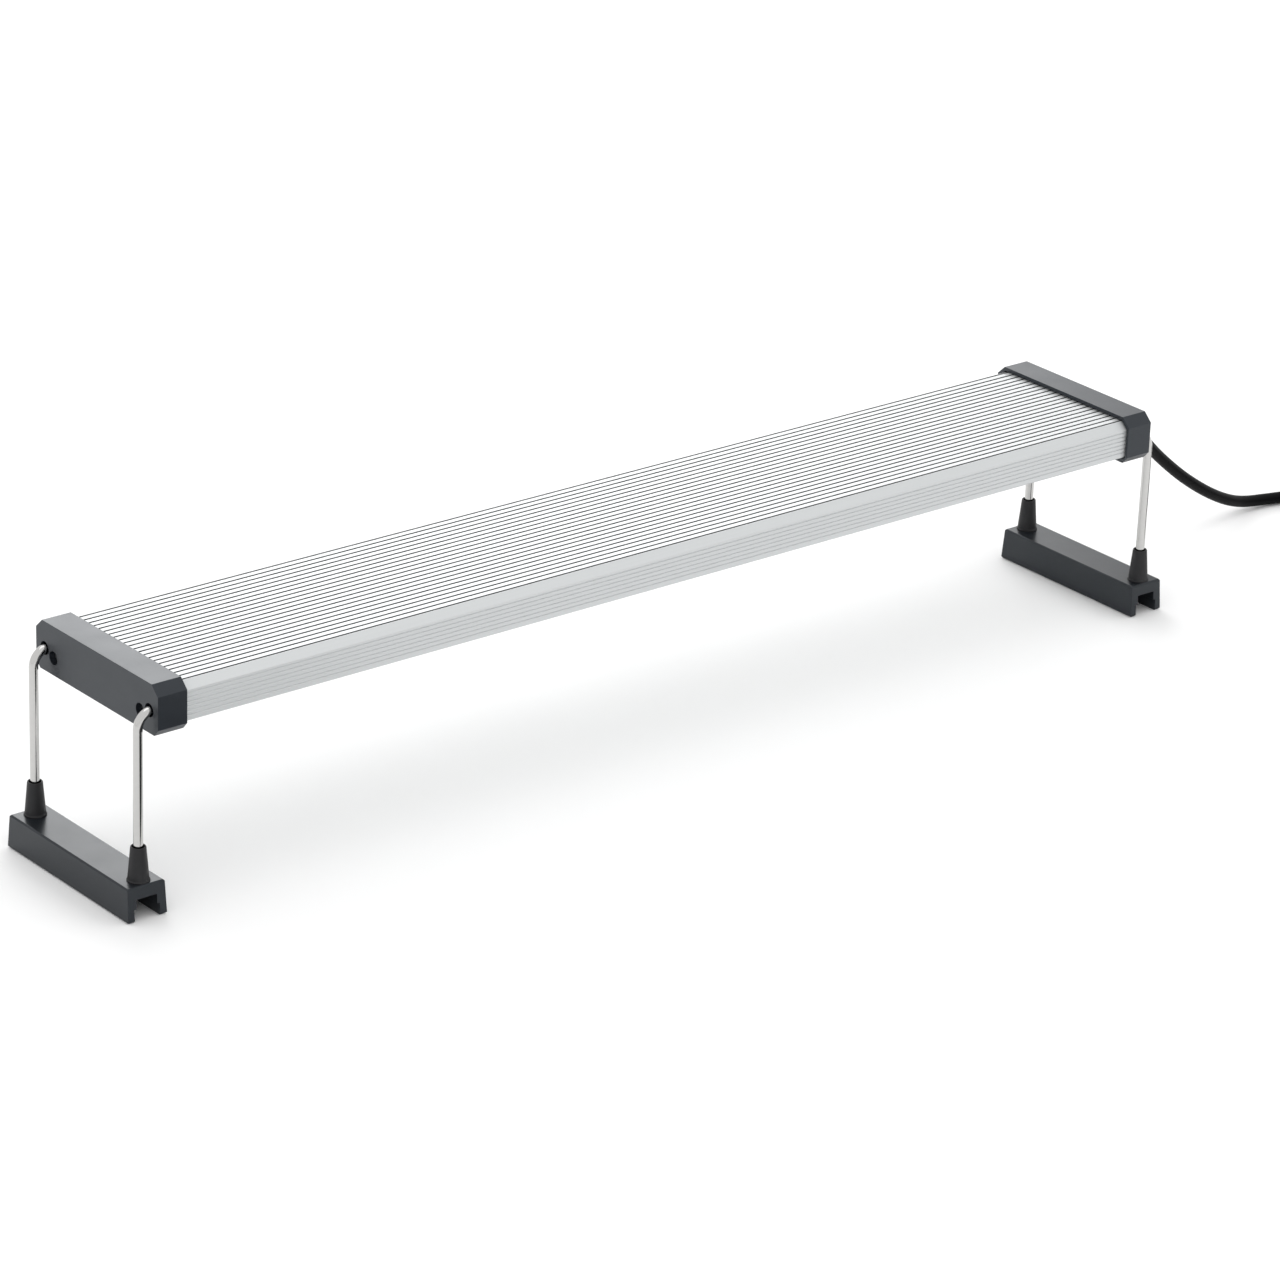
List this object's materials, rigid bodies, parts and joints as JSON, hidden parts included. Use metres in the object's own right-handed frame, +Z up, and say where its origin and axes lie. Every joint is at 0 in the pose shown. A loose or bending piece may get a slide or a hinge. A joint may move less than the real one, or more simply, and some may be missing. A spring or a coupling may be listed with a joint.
{
  "type": "led aquarium light",
  "caption": "Slim finned aluminium LED light bar with moulded end caps on two sliding wire stands with slotted rails, and a mains lead with plug.",
  "frame": {"origin": "centre of the lamp's footprint, on the plane that the two foot rails stand on", "axes": "+X along the lamp towards the end the lead leaves from, -Y towards the front, +Z up"},
  "size_m": [0.8582, 0.1551, 0.11],
  "materials": {
    "anodised_aluminium": "satin anodised",
    "cap_plastic": "satin moulded",
    "rail_plastic": "semi-gloss moulded",
    "sleeve_rubber": "matt",
    "stainless_wire": "polished stainless",
    "screw_steel": "dark zinc",
    "brass": "turned",
    "nylon": "natural",
    "seal_rubber": "matt",
    "clear_acrylic": "clear",
    "thermal_pad": "matt",
    "white_board": "white solder mask",
    "led_phosphor": "silicone",
    "green_board": "solder mask",
    "driver_parts": "mixed",
    "white_plastic": "matt",
    "red_wire": "satin",
    "brown_wire": "satin",
    "cord_pvc": "satin",
    "pin_metal": "nickel plated"
  },
  "bodies": {
    "lamp": {"housing": "anodised_aluminium", "clear_cover": "clear_acrylic", "thermal_pad": "thermal_pad", "led_board": "white_board", "leds": "led_phosphor", "board_screws": "screw_steel", "driver_pad": "thermal_pad", "driver_board": "green_board", "driver_parts": "driver_parts", "driver_cover": "white_plastic", "link_wires": "red_wire", "supply_wires": "brown_wire", "end_cap_left": "cap_plastic", "end_cap_right": "cap_plastic", "cap_seal_left": "seal_rubber", "cap_seal_right": "seal_rubber", "cap_screws_left": "screw_steel", "cap_screws_right": "screw_steel", "rod_guides_left": "nylon", "rod_guides_right": "nylon", "rod_grips_left": "seal_rubber", "rod_grips_right": "seal_rubber", "strain_relief": "cord_pvc", "cord_lead": "cord_pvc", "cord_coil": "cord_pvc", "cord_tail": "cord_pvc", "coil_ties": "seal_rubber", "plug_body": "cord_pvc", "plug_pins": "pin_metal", "plug_pin_sleeves": "cord_pvc"},
    "left_stand": {"rod_left_front": "stainless_wire", "rod_left_back": "stainless_wire", "rod_stops_left": "brass", "sleeve_left_front": "sleeve_rubber", "sleeve_left_back": "sleeve_rubber", "rail_left": "rail_plastic"},
    "right_stand": {"rod_right_front": "stainless_wire", "rod_right_back": "stainless_wire", "rod_stops_right": "brass", "sleeve_right_front": "sleeve_rubber", "sleeve_right_back": "sleeve_rubber", "rail_right": "rail_plastic"}
  },
  "joints": [
    {"name": "left_stand_slide", "type": "slide", "parent": "lamp", "child": "left_stand", "axis": [-1, 0, 0], "range_m": [0, 0.06]},
    {"name": "right_stand_slide", "type": "slide", "parent": "lamp", "child": "right_stand", "axis": [1, 0, 0], "range_m": [0, 0.06]}
  ]
}
